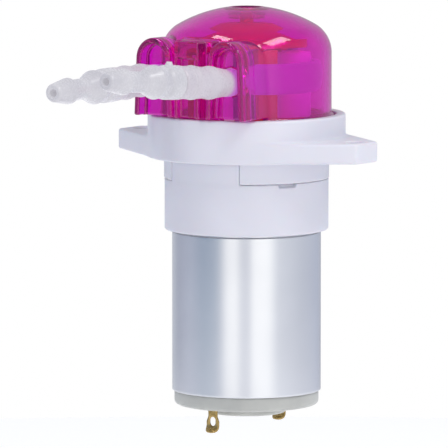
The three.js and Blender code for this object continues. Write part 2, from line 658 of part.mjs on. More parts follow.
// Stands a revolved body on a port: its +Z axis becomes the connector's outward direction.
function aimed(body, { side, yaw, pitch }) {
  const outward = body.rotate([90 - pitch, 0, 0]);
  return moved(turned(outward, yaw), side * PORT.x, PORT.mouthY, PORT.axisZ);
}

function stretchedEnd() {
  return revolve([...CONNECTOR.sleeve, ...CONNECTOR.sleeveBore].map(([along, r]) => [r, along]), SMALL);
}

function tubeSolid() {
  const band = solid(new THREE.ExtrudeGeometry(pinchedSection(), {
    extrudePath: new TrackRoute(), steps: 44, bevelEnabled: false,
  }));
  const straightLength = TUBE.roundEndY - PORT.mouthY + 0.6;
  const straights = CONNECTOR_SIDES.map(({ side }) => moved(
    ring(TUBE.r, TUBE.boreR, -straightLength, 0, SMALL).rotate([90, 0, 0]),
    side * PORT.x, PORT.mouthY, PORT.axisZ));
  const ends = CONNECTOR_SIDES.map((port) => aimed(stretchedEnd(), port));
  return join(band, ...straights, ...ends);
}

place('pump_tube', tubeSolid(), looks.silicone());

// ---------------------------------------------------------------- hose connectors

function connectorSolid() {
  const profile = CONNECTOR.profile.map(([along, r]) => [r, along]);
  const first = CONNECTOR.profile[0][0];
  const last = CONNECTOR.profile[CONNECTOR.profile.length - 1][0];
  const body = revolve([[0, first], ...profile, [0, last]], SMALL);
  const gateNub = box(-0.5, 0.5, 2.6, 3.75, 15.1, 16.2);
  const bore = disc(CONNECTOR.boreR, first - 1, last + 1, SMALL);
  return cut(join(body, gateNub), bore);
}

for (const port of CONNECTOR_SIDES) {
  place(`hose_connector_${port.name}`, aimed(connectorSolid(), port), looks.milky());
}

export default pump;
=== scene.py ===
"""Peristaltic pump: the looks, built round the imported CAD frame.

Shapes below are worked out in millimetres, as in the CAD source, and become metres in add_mesh().
The clear cover, the white mouldings and the rotor cage are distance fields: each is a function that
is negative inside the part, and net() turns it into a mesh with moulded fillets. Round parts are lathed.
"""

import json
import math

import bpy
import numpy as np
from mathutils import Matrix, Vector


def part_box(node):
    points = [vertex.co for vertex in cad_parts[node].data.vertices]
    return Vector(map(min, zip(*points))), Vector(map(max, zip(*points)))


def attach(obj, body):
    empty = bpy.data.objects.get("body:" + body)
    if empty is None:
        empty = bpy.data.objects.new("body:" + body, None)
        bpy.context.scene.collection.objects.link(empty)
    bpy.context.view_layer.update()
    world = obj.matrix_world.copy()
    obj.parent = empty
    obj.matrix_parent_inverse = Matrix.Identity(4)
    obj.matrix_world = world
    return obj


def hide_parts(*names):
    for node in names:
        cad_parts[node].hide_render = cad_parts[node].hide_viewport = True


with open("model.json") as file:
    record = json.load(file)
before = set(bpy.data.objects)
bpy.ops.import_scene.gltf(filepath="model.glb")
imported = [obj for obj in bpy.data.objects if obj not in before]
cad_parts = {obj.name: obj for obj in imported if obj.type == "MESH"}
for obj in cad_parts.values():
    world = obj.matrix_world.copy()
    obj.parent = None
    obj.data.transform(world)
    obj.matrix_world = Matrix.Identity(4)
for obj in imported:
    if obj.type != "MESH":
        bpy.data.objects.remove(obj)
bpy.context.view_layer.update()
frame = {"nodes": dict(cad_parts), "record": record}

MM = 0.001


def corner(node, side):
    """Lowest (side 0) or highest (side 1) corner of a CAD node, in millimetres."""
    return np.array(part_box(node)[side]) / MM


# ---------------------------------------------------------------- sizes read from the frame

cover_low, cover_high = corner("pump_cover", 0), corner("pump_cover", 1)
flange_low, flange_high = corner("mounting_flange", 0), corner("mounting_flange", 1)
seat_low, seat_high = corner("motor_seat", 0), corner("motor_seat", 1)
ring_low, ring_high = corner("flux_ring", 0), corner("flux_ring", 1)
cap_low, cap_high = corner("end_cap", 0), corner("end_cap", 1)
roller_low, roller_high = corner("roller_1", 0), corner("roller_1", 1)
base_low, base_high = corner("cage_base", 0), corner("cage_base", 1)
top_low, top_high = corner("cage_top", 0), corner("cage_top", 1)
sleeve_low, sleeve_high = corner("drive_sleeve", 0), corner("drive_sleeve", 1)
terminal_low = corner("terminal_rear", 0)

# ---------------------------------------------------------------- driving dimensions, millimetres

FINE, COARSE, FINEST = 0.277, 0.3, 0.13  # grid steps of the pieces made by net()
OVERLAP = 1.0  # how far a root or a cutter runs past the face that it meets

COVER = {
    "lip": 0.5, "lip_low": 6.9, "lip_high": 7.8, "side_wall": 1.4, "top_wall": 1.3,
    "boss": 3.4, "boss_low": 25.0, "dimple": 2.9, "dimple_deep": 0.5, "pin_hole": 1.42,
}
# The dome outside and inside: a straight wall, a rounded shoulder and a flatter cap.
OUTER_DOME = {
    "radius": cover_high[0] - COVER["lip"], "shoulder": 6.0, "shoulder_z": 19.2, "apex": cover_high[2],
}
INNER_DOME = {
    "radius": OUTER_DOME["radius"] - COVER["side_wall"], "shoulder": 5.4, "shoulder_z": 18.6,
    "apex": cover_high[2] - COVER["top_wall"],
}
# Each port is an arched hood with a raised rim, and a wall a little way in that holds the tube.
PORT = {
    "x": 8.0, "front": cover_low[1] + 0.7, "spring": 18.8, "outer": 3.9, "inner": 2.75, "draft": 0.045,
    "bottom": 8.25, "axis": 15.2, "rim": 4.1, "proud": 0.25, "hood_front": 0.3, "hood_back": -8.0,
    "channel_back": -7.0, "wall": 2.0, "wall_back": 3.2, "wall_root": 0.4, "tube_hole": 2.62,
}
WEB = {"half": 4.2, "front": -16.9, "back": -13.9, "top": 22.5}
PAD = {
    "half": 2.73, "front": cover_low[1], "top": 22.4,
    "slot_half": 2.02, "slot_top": 19.2, "slot_deep": 1.2,
}
FLANGE = {
    "thick": 3.8, "floor": 2.3, "collar": 18.4, "collar_inner": 16.6, "shaft_hole": 4.0,
    "ear_half": 2.6, "ear_corner": 1.5, "hole_x": 24.0, "hole": 1.55,
    "skirt": 15.35, "skirt_inner": 13.75, "skirt_root": 0.5, "window": 30.2,
}
SEAT = {
    "shoulder": -4.13, "spigot": 13.45, "well": 11.6, "floor_low": -7.2, "floor_high": -4.9,
    "tongue": 30.02, "counterbore": -9.7, "wide_bore": 14.15, "can_bore": 12.95, "nose_hole": 5.3,
    "screw_x": 8.0, "screw_hole": 1.6,
    "notch_from": -32.0, "notch_to": -18.0, "notch_high": 0.62, "notch_deep": 0.8, "notch_over": 0.5,
}
CAGE = {
    "bore": 5.5, "plate": 1.6, "pillar": 4.1, "pillar_inner": 7.6, "first": 24.6, "orbit": 8.6,
    "axle_hole": 1.12, "axle_floor": 0.5, "top_plate": 1.45,
    "hub": 9.1, "hub_root": 0.6, "hub_top": 4.6, "hub_high": 24.2, "pin": 1.25,
}
ROLLER = {"bore": 1.07, "hub": 2.0, "hub_step": 0.25}
DRIVE_SLEEVE_BORE = 1.2
TUBE = {
    "r": 2.5, "bore": 1.5, "flat_inner": 12.3, "flat_outer": 14.12, "flat_height": 5.7, "slit": 0.12,
    "start": 2.0, "turn_start": 6.0, "turn": 5.0, "step": 0.6, "stretched_step": 0.15,
}
# Each hose connector's side, yaw, pitch and roll, in degrees.
CONNECTOR_SIDES = {"right": (1, -4.5, 4.2, 0), "left": (-1, 3.0, -0.4, 100)}
# A hose connector and the tube end stretched over it, as (distance out from the port's mouth, radius).
CONNECTOR = {
    "start": 1.2, "end": 33.0, "bore": 0.75,
    "nub": 15.65, "nub_r": 0.62, "nub_high": 3.75, "nub_reach": 0.8, "nub_step": 0.1,
    "profile": [
        (1.2, 1.35), (4.6, 2.25), (4.9, 1.75), (7.4, 1.75), (9.6, 2.25), (9.9, 1.75), (13.85, 1.75),
        (13.9, 3.15), (17.0, 3.15), (17.5, 2.8), (18.2, 2.85), (19.8, 3.15), (22.9, 1.95), (27.4, 1.9),
        (27.9, 2.4), (28.4, 2.38), (32.6, 1.7), (33.0, 1.45)],
    "sleeve": [
        (-1.5, 2.5), (-1.35, 2.58), (-1.05, 2.58), (-0.9, 2.5), (0.5, 2.55), (3.35, 2.9), (3.5, 3.02),
        (3.75, 3.02), (3.9, 2.98), (4.3, 3.1), (6.2, 2.85), (8.7, 3.02), (8.85, 3.13), (9.1, 3.13),
        (9.4, 3.18), (10.3, 2.95), (10.65, 2.9), (10.8, 3.02), (11.0, 3.02), (11.15, 2.92),
        (13.2, 3.12), (13.6, 2.9)],
    "sleeve_bore": [
        (-1.5, 1.5), (0, 1.5), (1.1, 1.65), (4.7, 2.55), (5.2, 2.05), (7.3, 2.05), (9.7, 2.55),
        (10.2, 2.05), (13.6, 2.05)],
}
# The motor's outer sleeve. Its groove is measured down and up from the seat's lower edge, and the
# supports are extra rings on the long wall that keep its shading straight.
MOTOR_SLEEVE = {
    "wall": 0.9, "edge": 0.05, "support_low": 0.6, "support_high": 1.0,
    "groove": 0.7, "groove_down": 0.45, "groove_up": 0.12, "lean_down": 0.03, "lean_up": 0.02,
}
CAP = {
    "lip": 12.75, "boss": 7.4, "boss_low": -48.1, "low": -46.5, "joint": 0.04,
    "spigot": 11.5, "high": -44.4, "wall": 1.2,
    "bush": 3.15, "bush_wall": 1.5, "bush_drop": 1.6, "bush_floor": 0.7,
    "slot_gap_x": 0.2, "slot_gap_y": 0.25,
}
TERMINAL = {
    "y": 10.8, "half_thick": 0.25, "neck": 1.0, "flare": 0.9, "tip": 1.3, "margin": 0.4,
    "eye": 1.38, "eye_z": -48.75, "hole": 0.64, "stretch": 0.2,
    "bend_z": -49.37, "bend_r": 1.25, "bend": 84, "top": -42.1,
}

# ---------------------------------------------------------------- camera

CAMERA_TURN = math.radians(35.3)
CAMERA_AWAY, CAMERA_HIGH = 1.15, 0.114
AIM_SIDE, AIM_HIGH = -0.0042, -0.0129
LENS = 499.3
# Level directions: to the right in the view, and from the object toward the camera.
VIEW_RIGHT = Vector((math.cos(CAMERA_TURN), math.sin(CAMERA_TURN), 0))
VIEW_TOWARD = Vector((math.sin(CAMERA_TURN), -math.cos(CAMERA_TURN), 0))


def make_camera():
    place = VIEW_TOWARD * CAMERA_AWAY + VIEW_RIGHT * AIM_SIDE + Vector((0, 0, CAMERA_HIGH))
    aim = VIEW_RIGHT * AIM_SIDE + Vector((0, 0, AIM_HIGH))
    data = bpy.data.cameras.new("camera")
    data.lens = LENS
    data.clip_end = 20
    camera = bpy.data.objects.new("camera", data)
    camera.location = place
    camera.rotation_euler = (aim - place).to_track_quat("-Z", "Y").to_euler()
    bpy.context.scene.collection.objects.link(camera)
    bpy.context.scene.camera = camera


make_camera()

# ---------------------------------------------------------------- materials


class Nodes:
    """A material's node tree, with short calls for the nodes used here."""

    def __init__(self, name):
        self.material = bpy.data.materials.new(name)
        self.material.use_nodes = True
        self.tree = self.material.node_tree
        self.shader = self.tree.nodes["Principled BSDF"]
        self.output = self.tree.nodes["Material Output"]
        self.coordinate = self.tree.nodes.new("ShaderNodeTexCoord").outputs["Object"]

    def node(self, kind, **inputs):
        made = self.tree.nodes.new(kind)
        for key, value in inputs.items():
            self.put(made.inputs[key.replace("_", " ")], value)
        return made

    def put(self, socket, value):
        if isinstance(value, bpy.types.NodeSocket):
            self.tree.links.new(value, socket)
        else:
            socket.default_value = value

    def noise(self, scale, detail=2.0, stretch=(1, 1, 1)):
        """Noise with about scale lumps per millimetre, squeezed or stretched along the axes."""
        scales = [scale / MM * s for s in stretch]
        mapping = self.node("ShaderNodeMapping", Vector=self.coordinate, Scale=scales)
        texture = self.node("ShaderNodeTexNoise", Vector=mapping.outputs[0], Scale=1.0, Detail=detail)
        return texture.outputs["Fac"]

    def ramp(self, factor, low_color, high_color, start=0.3, end=0.7):
        made = self.node("ShaderNodeValToRGB", Fac=factor)
        made.color_ramp.elements[0].position = start
        made.color_ramp.elements[1].position = end
        made.color_ramp.elements[0].color = (*low_color, 1)
        made.color_ramp.elements[1].color = (*high_color, 1)
        return made.outputs["Color"]

    def spread(self, factor, low, high, start=0.3, end=0.7):
        """Turns a factor's span from start to end into a value from low to high."""
        made = self.node(
            "ShaderNodeMapRange", Value=factor, From_Min=start, From_Max=end, To_Min=low, To_Max=high)
        return made.outputs["Result"]

    def bump(self, height, strength, distance):
        made = self.node("ShaderNodeBump", Height=height, Strength=strength, Distance=distance * MM)
        return made.outputs["Normal"]

    def set(self, **inputs):
        for key, value in inputs.items():
            self.put(self.shader.inputs[key.replace("_", " ")], value)


def surface(name, low_color, high_color, rough=(0.3, 0.5), patch=0.15, grain=3.0, relief=0.02,
            stretch=(1, 1, 1), **sockets):
    """An opaque or milky material: patchy colour, patchy gloss and a fine grain."""
    look = Nodes(name)
    patches = look.noise(patch, 3.0)
    fine = look.noise(grain, 3.0, stretch)
    look.set(Base_Color=look.ramp(patches, low_color, high_color))
    look.set(Roughness=look.spread(fine, *rough))
    look.set(Normal=look.bump(fine, 0.5, relief))
    look.set(**sockets)
    return look.material


def clear_magenta():
    """Clear plastic with a strong magenta dye, a faint painted magenta glow, and a trace of haze."""
    look = Nodes("clear magenta plastic")
    flow = look.noise(0.12, 2.0)
    wear = look.noise(1.6, 4.0)
    look.set(Base_Color=look.ramp(flow, (0.94, 0.055, 0.97), (0.97, 0.09, 1.0)))
    look.set(Roughness=look.spread(wear, 0.015, 0.05))
    look.set(Normal=look.bump(flow, 0.12, 0.12))
    look.set(Transmission_Weight=0.97, IOR=1.5)
    # The emission is a painted glow: faint magenta light that the cover gives out under any lamp.
    look.set(Emission_Color=(0.9, 0.02, 0.6, 1), Emission_Strength=0.05)
    dye = look.node("ShaderNodeVolumeAbsorption", Color=(0.93, 0.0, 0.80, 1), Density=1.0 / MM)
    look.tree.links.new(dye.outputs[0], look.output.inputs["Volume"])
    return look.material


def satin_sleeve():
    """Satin anodised sleeve: a very fine grain, and gloss that varies a little in hoops up its wall."""
    look = Nodes("satin sleeve")
    grain = look.noise(4.0, 2.0)
    hoops = look.noise(0.5, 2.0, (0.15, 0.15, 6.0))
    cloud = look.noise(0.06, 2.0)
    look.set(Base_Color=look.ramp(cloud, (0.69, 0.70, 0.735), (0.75, 0.76, 0.79)))
    look.set(Roughness=look.spread(hoops, 0.225, 0.24))
    look.set(Normal=look.bump(grain, 0.15, 0.003))
    look.set(Metallic=1.0)
    return look.material


def milky(name, low_color, high_color, depth, rough, painted_glow, painted_tint=None):
    """Translucent moulding: light spreads below the surface, and a painted glow, an emission in the
    plastic's own colour, stands in for light that comes through and lifts the shade in its hollows.

    A painted tint is (axis, from mm, to mm, color): a painted colour of shade and of light through the
    cover's dye, which the plastic takes along that axis.
    """
    look = Nodes(name)
    cloud = look.noise(0.2, 3.0)
    fine = look.noise(2.5, 3.0)
    color = look.ramp(cloud, low_color, high_color)
    # The painted tint: a colour of painted shade and dye-filtered light, mixed in along one axis.
    if painted_tint:
        axis, start, end, painted_tint_color = painted_tint
        split = look.node("ShaderNodeSeparateXYZ", Vector=look.coordinate)
        share = look.spread(split.outputs[axis], 0.0, 1.0, start * MM, end * MM)
        mix = look.node("ShaderNodeMix")
        mix.data_type = "RGBA"
        look.put(mix.inputs[0], share)
        look.put(mix.inputs[6], color)
        look.put(mix.inputs[7], (*painted_tint_color, 1))
        color = mix.outputs[2]
    # The emission is the painted glow, in the plastic's own colour.
    look.set(Base_Color=color, Emission_Color=color, Emission_Strength=painted_glow)
    look.set(Roughness=look.spread(fine, *rough))
    look.set(Normal=look.bump(cloud, 0.2, 0.04))
    look.set(Subsurface_Weight=0.4, Subsurface_Scale=depth * MM, IOR=1.44)
    look.set(Subsurface_Radius=(1.0, 0.95, 0.9))
    return look.material


LOOKS = {
    "cover": clear_magenta(),
    "white_moulding": surface(
        "white moulding", (0.66, 0.655, 0.73), (0.70, 0.695, 0.765), rough=(0.34, 0.5), patch=0.05,
        grain=2.0, relief=0.012, Subsurface_Weight=0.15, Subsurface_Scale=0.6 * MM, IOR=1.5),
    # The cap's last number, 0.03, is a faint painted glow.
    "cap_nylon": milky("cap nylon", (0.42, 0.425, 0.41), (0.49, 0.495, 0.47), 1.0, (0.3, 0.45), 0.03),
    # The connector's strong painted glow, 0.9, lifts the shade in its bore and under its barbs.
    "connector_plastic": milky(
        "connector plastic", (0.29, 0.285, 0.31), (0.335, 0.33, 0.35), 1.0, (0.2, 0.32), 0.9),
    # The silicone's painted glow, 0.6, lifts its shade; past the port's mouth the tube is painted dark
    # magenta, painted shade and light through the cover's dye.
    "silicone": milky(
        "silicone", (0.34, 0.315, 0.35), (0.38, 0.355, 0.39), 1.0, (0.24, 0.36), 0.6,
        painted_tint=(1, PORT["front"] - 0.6, PORT["front"] + 0.9, (0.37, 0.11, 0.42))),
    "cage_plastic": surface(
        "cage plastic", (0.80, 0.04, 0.03), (0.88, 0.055, 0.04), rough=(0.35, 0.5), patch=0.1, grain=2.0,
        Subsurface_Weight=0.1, Subsurface_Scale=0.5 * MM),
    # The rollers' painted glow, 0.18, lifts the shade between the cage plates.
    "roller_plastic": milky(
        "roller plastic", (0.80, 0.74, 0.84), (0.88, 0.82, 0.90), 0.8, (0.25, 0.4), 0.18),
    "motor_sleeve": satin_sleeve(),
    "steel": surface(
        "steel", (0.42, 0.42, 0.43), (0.55, 0.55, 0.56), rough=(0.22, 0.4), grain=4.0, relief=0.01,
        stretch=(0.3, 0.3, 4), Metallic=1.0),
    "zinc": surface(
        "zinc", (0.48, 0.49, 0.47), (0.62, 0.62, 0.60), rough=(0.3, 0.5), patch=0.8, relief=0.01,
        Metallic=1.0),
    "brass": surface(
        "brass", (0.33, 0.22, 0.075), (0.55, 0.40, 0.17), rough=(0.18, 0.38), patch=0.9, grain=2.5,
        Metallic=1.0),
    "copper": surface(
        "copper", (0.60, 0.24, 0.10), (0.78, 0.36, 0.18), rough=(0.22, 0.4), patch=0.6, grain=5.0,
        stretch=(0.3, 5, 0.3), Metallic=1.0),
    "bronze": surface(
        "bronze", (0.28, 0.17, 0.08), (0.42, 0.28, 0.14), rough=(0.45, 0.7), patch=0.8, grain=6.0,
        relief=0.03, Metallic=0.8),
    "ferrite": surface(
        "ferrite", (0.045, 0.045, 0.048), (0.085, 0.083, 0.08), rough=(0.6, 0.9), patch=0.5,
        relief=0.03),
    "carbon": surface(
        "carbon", (0.022, 0.022, 0.023), (0.05, 0.05, 0.05), rough=(0.5, 0.8), patch=0.9, grain=5.0),
    "lamination": surface(
        "lamination", (0.12, 0.12, 0.125), (0.30, 0.29, 0.285), rough=(0.4, 0.65), patch=0.3, grain=2.0,
        relief=0.05, stretch=(0.1, 0.1, 1.6), Metallic=0.9),
}


def dress_cad_nodes():
    """Every CAD node takes the material of the record's slot that names it."""
    for entry in frame["record"]["subparts"]:
        data = frame["nodes"][entry["node"]].data
        data.materials.clear()
        data.materials.append(LOOKS[entry["material_slot"]])


dress_cad_nodes()

# ---------------------------------------------------------------- making pieces


def add_mesh(name, points, faces, slot, body, replaced):
    """Makes a piece from millimetre points and gives it its material, body and replaced nodes."""
    mesh = bpy.data.meshes.new(name)
    mesh.from_pydata((np.asarray(points, float) * MM).tolist(), [], faces)
    mesh.update()
    mesh.polygons.foreach_set("use_smooth", [True] * len(mesh.polygons))
    mesh.materials.append(LOOKS[slot])
    piece = bpy.data.objects.new(name, mesh)
    bpy.context.scene.collection.objects.link(piece)
    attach(piece, body)
    if replaced:
        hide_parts(*replaced)
    return piece


def net(field, low, high, cell):
    """Meshes the zero surface of field(x, y, z), which is negative inside, between two corners."""
    axes = [np.arange(low[i] - 1.5 * cell, high[i] + 2.5 * cell, cell) for i in range(3)]
    value = field(*np.meshgrid(*axes, indexing="ij"))
    inside = value < 0
    count = sum(
        inside[i : i - 1 or None, j : j - 1 or None, k : k - 1 or None].astype(np.int8)
        for i in (0, 1) for j in (0, 1) for k in (0, 1))
    mixed = (count > 0) & (count < 8)
    cells = np.argwhere(mixed)
    number = np.full(mixed.shape, -1, np.int64)
    number[mixed] = np.arange(len(cells))
    points = crossing_means(value, cells) * cell + [a[0] for a in axes]
    points = settle(field, points, cell)
    faces = []
    for axis in range(3):
        faces += edge_quads(inside, number, axis)
    return points, faces


def crossing_means(value, cells):
    """Mean, in grid steps, of the points where the field changes sign on each cell's edges."""
    total = np.zeros((len(cells), 3))
    hits = np.zeros(len(cells))
    for axis in range(3):
        step = np.eye(3, dtype=int)[axis]
        for u in (0, 1):
            for v in (0, 1):
                offset = np.zeros(3, int)
                offset[(axis + 1) % 3], offset[(axis + 2) % 3] = u, v
                start = cells + offset
                first = value[tuple(start.T)]
                second = value[tuple((start + step).T)]
                crosses = (first < 0) != (second < 0)
                share = np.where(crosses, first / np.where(crosses, first - second, 1), 0)
                total += np.where(crosses[:, None], start + share[:, None] * step, 0)
                hits += crosses
    return total / hits[:, None]


def settle(field, points, cell):
    """Moves each point onto the zero surface along the field's slope."""
    eps = cell * 0.05
    for _ in range(3):
        value = field(*points.T)
        slope = np.stack([
            (field(*(points + step).T) - field(*(points - step).T)) / (2 * eps)
            for step in np.eye(3) * eps], axis=1)
        size = np.maximum((slope ** 2).sum(1), 0.05)
        move = -value[:, None] * slope / size[:, None]
        length = np.linalg.norm(move, axis=1, keepdims=True)
        points = points + move * np.minimum(1, 0.4 * cell / np.maximum(length, 1e-9))
    return points


def edge_quads(inside, number, axis):
    """One face for each grid edge along axis whose two ends lie on different sides."""
    u, v = (axis + 1) % 3, (axis + 2) % 3
    before = np.take(inside, range(inside.shape[axis] - 1), axis)
    after = np.take(inside, range(1, inside.shape[axis]), axis)
    start = np.argwhere(before != after)
    keep = (start[:, u] > 0) & (start[:, v] > 0)
    keep &= (start[:, u] < inside.shape[u] - 1) & (start[:, v] < inside.shape[v] - 1)
    start = start[keep]
    ring = []
    for du, dv in ((1, 1), (0, 1), (0, 0), (1, 0)):
        at = start.copy()
        at[:, u] -= du
        at[:, v] -= dv
        ring.append(number[tuple(at.T)])
    quads = np.stack(ring, axis=1)
    outward = before[tuple(start.T)]
    quads[~outward] = quads[~outward][:, ::-1]
    return quads.tolist()


def lathe(profile, steps=96, centre=(0, 0)):
    """Revolves a closed outline of (radius, height) points. Points on the axis become poles."""
    outline = np.asarray(profile, float)
    angles = np.linspace(0, 2 * math.pi, steps, endpoint=False)
    points, rings = [], []
    for radius, height in outline:
        if radius < 1e-6:
            rings.append([len(points)] * steps)
            points.append((centre[0], centre[1], height))
            continue
        rings.append(list(range(len(points), len(points) + steps)))
        points += [
            (centre[0] + radius * math.cos(a), centre[1] + radius * math.sin(a), height) for a in angles]
    faces = []
    for index in range(len(rings)):
        first, second = rings[index], rings[(index + 1) % len(rings)]
        for i in range(steps):
            j = (i + 1) % steps
            corners = [first[i], first[j], second[j], second[i]]
            unique = list(dict.fromkeys(corners))
            if len(unique) > 2:
                faces.append(unique)
    return points, faces


def rounded(outline, radius, steps=4):
    """Rounds every corner of a closed (radius, height) outline that is off the axis."""
    made = []
    total = len(outline)
    for index, here in enumerate(outline):
        here = np.array(here, float)
        before = np.array(outline[index - 1], float) - here
        after = np.array(outline[(index + 1) % total], float) - here
        reach = min(radius, 0.45 * np.linalg.norm(before), 0.45 * np.linalg.norm(after))
        if here[0] < 1e-6 or reach < 1e-3:
            made.append(tuple(here))
            continue
        start = here + before / np.linalg.norm(before) * reach
        end = here + after / np.linalg.norm(after) * reach
        for step in range(steps + 1):
            t = step / steps
            made.append(tuple((1 - t) ** 2 * start + 2 * t * (1 - t) * here + t ** 2 * end))
    return made


# ---------------------------------------------------------------- distance fields
#
# The last number in each soft_min() and soft_max() is the fillet or the edge rounding at that joint.


def soft_min(a, b, k):
    """The smaller of two fields, with a fillet of about k where they meet."""
    h = np.clip(0.5 + 0.5 * (b - a) / k, 0, 1)
    return b * (1 - h) + a * h - k * h * (1 - h)


def soft_max(a, b, k):
    """The larger of two fields, with the edge where they meet rounded by about k."""
    return -soft_min(-a, -b, k)


def slab(z, low, high):
    """Negative between the heights low and high."""
    return np.maximum(low - z, z - high)


def sector(x, y, half_angle):
    """Negative within half_angle degrees of the Y axis, on both sides of the part."""
    a = math.radians(half_angle)
    return np.abs(x) * math.cos(a) - np.abs(y) * math.sin(a)


def dome(r, z, outline):
    """A dome on a straight wall, as OUTER_DOME describes it."""
    shoulder = outline["shoulder"]
    shoulder_x = outline["radius"] - shoulder
    rise = outline["apex"] - outline["shoulder_z"]
    cap = (rise ** 2 + shoulder_x ** 2 - shoulder ** 2) / (2 * (rise - shoulder))
    cap_z = outline["apex"] - cap
    meet = math.atan2(outline["shoulder_z"] - cap_z, shoulder_x)
    out, up = r - shoulder_x, z - outline["shoulder_z"]
    plain = np.maximum(out, np.hypot(r, z - cap_z) - (cap - shoulder))
    at_corner = (up > 0) & (out * math.sin(meet) - up * math.cos(meet) > 0)
    return np.where(at_corner, np.hypot(out, up), plain) - shoulder


def arch(x, z, half):
    """An arch that is open at the bottom, seen from the front, with a little draft."""
    rise = np.maximum(z - PORT["spring"], 0)
    drop = np.maximum(PORT["spring"] - z, 0)
    return np.hypot(x, rise) - half - PORT["draft"] * drop


def cover_field(x, y, z):
    """The dome with its lip, the two ports with the web and pad between them, and the top boss."""
    r = np.hypot(x, y)
    side = np.abs(x) - PORT["x"]
    front = PORT["front"]
    shell = dome(r, z, OUTER_DOME)
    lip = soft_max(r - cover_high[0], slab(z, COVER["lip_low"], COVER["lip_high"]), 0.3)
    hood = arch(side, z, PORT["outer"] - PORT["proud"])
    hood = soft_max(hood, slab(y, front + PORT["hood_front"], PORT["hood_back"]), 0.4)
    rim = soft_max(arch(side, z, PORT["outer"]), slab(y, front, front + PORT["rim"]), 0.5)
    web = soft_max(np.abs(x) - WEB["half"], slab(y, WEB["front"], WEB["back"]), 0.3)
    web = soft_max(web, z - WEB["top"], 0.4)
    pad = soft_max(np.abs(x) - PAD["half"], slab(y, PAD["front"], WEB["back"]), 0.35)
    pad = soft_max(pad, z - PAD["top"], 0.35)
    ports = soft_min(soft_min(hood, rim, 0.3), soft_min(web, pad, 0.25), 0.35)
    ports = soft_max(ports, PORT["bottom"] - z, 0.3)
    outside = soft_min(soft_min(shell, lip, 0.35), ports, 0.35)
    outside = soft_max(outside, cover_low[2] - z, 0.3)

    channel = np.maximum(arch(side, z, PORT["inner"]), y - PORT["channel_back"])
    inside = soft_min(dome(r, z, INNER_DOME), channel, 0.5)
    slot = soft_max(np.abs(x) - PAD["slot_half"], y - PAD["front"] - PAD["slot_deep"], 0.25)
    slot = soft_max(slot, z - PAD["slot_top"], 0.25)
    body = soft_max(outside, -inside, 0.3)
    body = soft_max(body, -slot, 0.3)
    wall = arch(side, z, PORT["inner"] + PORT["wall_root"])
    wall = np.maximum(wall, slab(y, front + PORT["wall"], front + PORT["wall_back"]))
    wall = np.maximum(wall, PORT["bottom"] - z)
    wall = soft_max(wall, PORT["tube_hole"] - np.hypot(side, z - PORT["axis"]), 0.15)
    body = soft_min(body, wall, 0.25)

    boss = soft_max(r - COVER["boss"], slab(z, COVER["boss_low"], cover_high[2] - OVERLAP), 0.3)
    body = soft_min(body, boss, 0.6)
    dimple = np.maximum(r - COVER["dimple"], cover_high[2] - COVER["dimple_deep"] - z)
    pin_hole = np.maximum(r - COVER["pin_hole"], COVER["boss_low"] - OVERLAP - z)
    return soft_max(soft_max(body, -dimple, 0.25), -pin_hole, 0.2)


def ear_outline(x, y):
    """The flange's diamond plan: the collar circle and two blunt ears joined by tangent lines."""
    x, y = np.abs(x), np.abs(y)
    end, half, r = flange_high[0], FLANGE["ear_half"], FLANGE["ear_corner"]
    corner_x = end - r
    tangent = math.atan2(half, corner_x) + math.acos((FLANGE["collar"] - r) / math.hypot(corner_x, half))
    c, s = math.cos(tangent), math.sin(tangent)
    along = -x * s + y * c
    line = x * c + y * s - FLANGE["collar"]
    tip = np.where(y < half, x - end, np.hypot(x - corner_x, y - half) - r)
    beyond = along < -corner_x * s + half * c
    return np.where(along > 0, np.hypot(x, y) - FLANGE["collar"], np.where(beyond, tip, line))


def flange_field(x, y, z):
    """The diamond plate with its collar and well, and the skirt below it, which has two windows."""
    r = np.hypot(x, y)
    plate = soft_max(ear_outline(x, y), slab(z, 0, FLANGE["thick"]), 0.5)
    collar = soft_max(r - FLANGE["collar"], slab(z, 0, flange_high[2]), 0.45)
    well = np.maximum(r - FLANGE["collar_inner"], FLANGE["floor"] - z)
    body = np.maximum(soft_min(plate, collar, 0.5), ear_outline(x, y))
    body = soft_max(body, -well, 0.35)
    body = soft_max(body, FLANGE["shaft_hole"] - r, 0.3)
    body = soft_max(body, FLANGE["hole"] - np.hypot(np.abs(x) - FLANGE["hole_x"], y), 0.3)
    skirt = np.maximum(r - FLANGE["skirt"], FLANGE["skirt_inner"] - r)
    skirt = soft_max(skirt, slab(z, flange_low[2], FLANGE["skirt_root"]), 0.12)
    skirt = soft_max(skirt, -sector(x, y, FLANGE["window"]), 0.1)
    return soft_min(body, skirt, 0.25)


